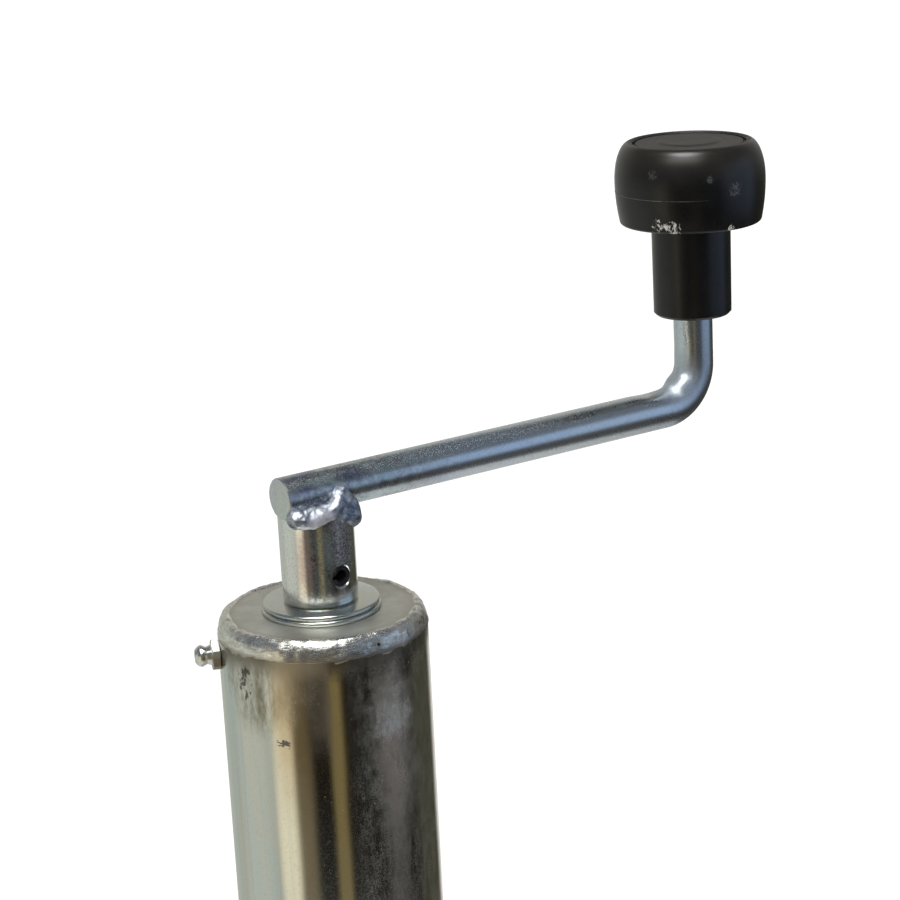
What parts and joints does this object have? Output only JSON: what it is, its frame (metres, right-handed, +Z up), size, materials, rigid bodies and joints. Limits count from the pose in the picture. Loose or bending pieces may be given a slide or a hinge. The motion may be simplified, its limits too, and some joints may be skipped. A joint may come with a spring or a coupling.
{
  "type": "jockey wheel",
  "caption": "Heavy trailer jockey wheel: telescopic screw leg for a clamp, cranked top handle with spinning knob, swivel fork and solid wheel.",
  "frame": {"origin": "on the leg's axis, in the middle of the stretch of outer tube that a clamp grips", "axes": "+Z up the leg, +X under the crank arm at rest, +Y along the wheel's axle; the wheel trails towards -X"},
  "size_m": [0.3128, 0.119, 0.7553],
  "materials": {
    "zinc_tube": "bright zinc plate over drawn tube",
    "zinc_bright": "bright zinc plate",
    "weld_steel": "zinc plated weld metal",
    "black_steel": "blackened spring steel",
    "bearing_steel": "ground bearing steel",
    "turned_steel": "turned, oiled steel",
    "black_plastic": "satin moulded plastic",
    "guide_plastic": "black nylon",
    "rim_paint": "silver powder coat",
    "tyre_rubber": "solid rubber",
    "bronze": "sintered bronze",
    "cage_brass": "pressed brass"
  },
  "bodies": {
    "outer_leg": {"outer_tube": "zinc_tube", "top_cap": "zinc_bright", "cap_weld": "weld_steel", "lower_washer": "zinc_bright", "grease_nipple": "zinc_bright", "cap_race": "bearing_steel", "guide_boss": "zinc_bright", "boss_weld": "weld_steel", "guide_screw": "zinc_bright", "guide_lock_nut": "zinc_bright", "lower_bush": "guide_plastic"},
    "screw_roller_set": {"screw_rollers": "bearing_steel", "screw_roller_cage": "cage_brass"},
    "crank": {"screw_race": "bearing_steel", "spindle": "turned_steel", "spindle_end_washer": "zinc_bright", "spindle_end_nut": "zinc_bright", "upper_washer": "zinc_bright", "crank_collar": "zinc_bright", "collar_pin": "black_steel", "crank_rod": "zinc_bright", "crank_weld": "weld_steel", "knob_retainer": "black_steel"},
    "knob": {"knob_body": "black_plastic", "knob_cap": "black_plastic"},
    "inner_leg": {"inner_tube": "zinc_tube", "spindle_nut": "bronze", "nut_pins": "bearing_steel", "top_ring": "guide_plastic", "swivel_plug": "zinc_bright", "plug_weld": "weld_steel", "plug_race": "bearing_steel", "king_bolt": "zinc_bright", "king_washer": "zinc_bright", "king_nut": "zinc_bright", "split_pin": "zinc_bright"},
    "swivel_roller_set": {"swivel_rollers": "bearing_steel", "swivel_roller_cage": "cage_brass"},
    "fork_swivel": {"fork": "zinc_bright", "swivel_cup": "zinc_bright", "fork_race": "bearing_steel", "cup_weld": "weld_steel", "axle_bolt": "zinc_bright", "axle_nut": "zinc_bright", "axle_washers": "zinc_bright", "axle_sleeve": "turned_steel", "hub_shims": "zinc_bright"},
    "wheel": {"hub_tube": "rim_paint", "hub_bushes": "bronze", "rim_left": "rim_paint", "rim_right": "rim_paint", "hub_welds": "rim_paint", "rim_bolts": "zinc_bright", "rim_nuts": "zinc_bright", "tyre": "tyre_rubber"}
  },
  "joints": [
    {"name": "crank_turn", "type": "hinge", "parent": "outer_leg", "child": "crank", "pos_m": [0, 0, 0.18], "axis": [0, 0, -1], "range_deg": [0, 20610]},
    {"name": "screw_cage_roll", "type": "hinge", "parent": "outer_leg", "child": "screw_roller_set", "pos_m": [0, 0, 0.16922], "axis": [0, 0, -1], "range_deg": [0, 10305]},
    {"name": "knob_spin", "type": "hinge", "parent": "crank", "child": "knob", "pos_m": [0.138, 0, 0.27], "axis": [0, 0, 1], "continuous": true},
    {"name": "leg_slide", "type": "slide", "parent": "outer_leg", "child": "inner_leg", "axis": [0, 0, -1], "range_m": [0, 0.229]},
    {"name": "fork_turn", "type": "hinge", "parent": "inner_leg", "child": "fork_swivel", "pos_m": [0, 0, -0.205], "axis": [0, 0, 1], "continuous": true},
    {"name": "swivel_cage_roll", "type": "hinge", "parent": "inner_leg", "child": "swivel_roller_set", "pos_m": [0, 0, -0.202], "axis": [0, 0, 1], "continuous": true},
    {"name": "wheel_spin", "type": "hinge", "parent": "fork_swivel", "child": "wheel", "pos_m": [-0.042, 0, -0.34931], "axis": [0, 1, 0], "continuous": true}
  ],
  "couplings": [
    {"joint": "leg_slide", "follows": "crank_turn", "m_per_rad": 0.00063662},
    {"joint": "screw_cage_roll", "follows": "crank_turn", "ratio": 0.5},
    {"joint": "swivel_cage_roll", "follows": "fork_turn", "ratio": 0.5}
  ]
}
